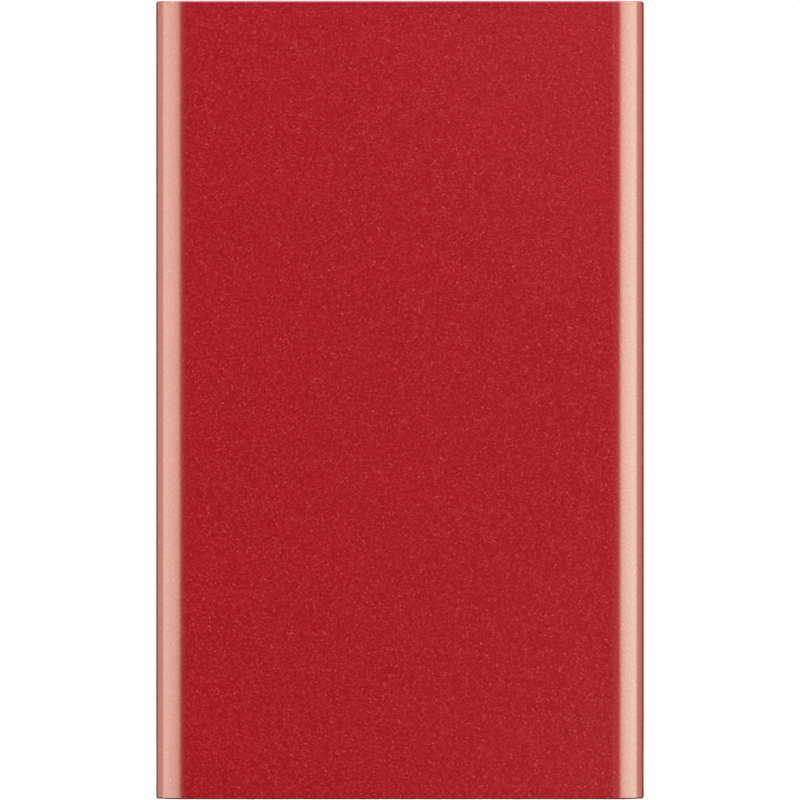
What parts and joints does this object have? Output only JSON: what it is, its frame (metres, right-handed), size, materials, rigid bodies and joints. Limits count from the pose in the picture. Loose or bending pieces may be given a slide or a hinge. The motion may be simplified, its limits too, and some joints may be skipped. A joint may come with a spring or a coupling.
{
  "type": "digital audio player",
  "caption": "Slim pocket audio player: red anodised sleeve with rounded long edges, display window, rocking ring, centre button, hold slider, headphone and charging sockets.",
  "frame": {"origin": "centre of the lower end of the sleeve, on its middle plane", "axes": "+Z along the length towards the hold slider, -Y out of the display and +Y out of the plain back, +X across the width"},
  "size_m": [0.048, 0.0078, 0.0784],
  "materials": {
    "red_anodised": "bead-blasted and dyed red anodised",
    "black_caps": "moulded, fine matt texture",
    "pressed_steel": "pressed sheet, zinc plated",
    "cast_plate": "die cast, lightly blasted",
    "end_screws": "machined, passivated",
    "brass_screws": "machined",
    "clear_lens": "polished",
    "lens_ink": "screen-printed ink",
    "foam": "closed-cell foam",
    "bezel_steel": "pressed stainless",
    "lcd_glass": "polished laminated panel",
    "backlight_film": "moulded light guide and film",
    "flex_film": "polyimide film",
    "black_control": "moulded, satin",
    "red_button": "turned, blasted and dyed red anodised",
    "dome_steel": "rolled spring steel",
    "board_green": "solder-masked laminate",
    "chip_black": "moulded epoxy",
    "can_steel": "pressed, tin plated",
    "components": "fired ceramic with tinned ends",
    "socket_nylon": "moulded nylon",
    "socket_steel": "nickel plated",
    "socket_black": "moulded",
    "gold_contacts": "gold plated",
    "cell_foil": "laminated foil",
    "black_foam_pad": "adhesive foam",
    "amber_tape": "polyimide tape",
    "wire_red": "silicone insulation",
    "wire_black": "silicone insulation",
    "slider_metal": "machined, clear anodised",
    "orange_mark": "printed label",
    "switch_black": "moulded"
  },
  "bodies": {
    "root": {"sleeve": "red_anodised", "top_cap": "black_caps", "bottom_cap": "black_caps", "top_bracket": "pressed_steel", "bottom_bracket": "pressed_steel", "chassis": "cast_plate", "top_screws": "end_screws", "bottom_screws": "end_screws", "display_lens": "clear_lens", "lens_print": "lens_ink", "window_gasket": "foam", "lcd_frame": "bezel_steel", "lcd_panel": "lcd_glass", "backlight": "backlight_film", "lcd_flex": "flex_film", "nav_base": "pressed_steel", "key_board": "board_green", "nav_screws": "brass_screws", "key_flex": "flex_film", "centre_dome": "dome_steel", "vertical_domes": "dome_steel", "side_domes": "dome_steel", "main_board": "board_green", "board_screws": "brass_screws", "insulating_film": "amber_tape", "processor": "chip_black", "flash_chip": "chip_black", "audio_codec": "chip_black", "power_chip": "chip_black", "crystal": "can_steel", "board_components": "components", "shield_can": "can_steel", "board_sockets": "socket_nylon", "usb_shell": "socket_steel", "usb_block": "socket_black", "usb_contacts": "gold_contacts", "jack_body": "socket_black", "jack_collar": "socket_steel", "jack_contacts": "gold_contacts", "battery_cell": "cell_foil", "battery_pad": "black_foam_pad", "battery_guard": "amber_tape", "battery_plug": "socket_nylon", "battery_lead_red": "wire_red", "battery_lead_black": "wire_black", "hold_mark": "orange_mark", "hold_switch": "switch_black", "switch_board": "board_green", "switch_flex": "flex_film"},
    "gimbal": {"gimbal_ring": "bezel_steel"},
    "nav_ring": {"nav_ring": "black_control"},
    "centre_button": {"centre_button": "red_button"},
    "hold_slider": {"hold_slider": "slider_metal", "hold_lever": "socket_nylon"}
  },
  "joints": [
    {"name": "ring_tilt_up_down", "type": "hinge", "parent": "root", "child": "gimbal", "pos_m": [0, -0.00205, 0.0221], "axis": [1, 0, 0], "range_deg": [-1.2, 1.2], "stiffness_Nm_per_rad": 0.2, "deforming": ["vertical_domes"]},
    {"name": "ring_tilt_left_right", "type": "hinge", "parent": "gimbal", "child": "nav_ring", "pos_m": [0, -0.00205, 0.0221], "axis": [0, 0, 1], "range_deg": [-1.2, 1.2], "stiffness_Nm_per_rad": 0.2, "deforming": ["side_domes"]},
    {"name": "centre_press", "type": "slide", "parent": "root", "child": "centre_button", "axis": [0, 1, 0], "range_m": [0, 0.00025], "stiffness_N_per_m": 800, "deforming": ["centre_dome"]},
    {"name": "hold_slide", "type": "slide", "parent": "root", "child": "hold_slider", "axis": [1, 0, 0], "range_m": [0, 0.002]}
  ]
}
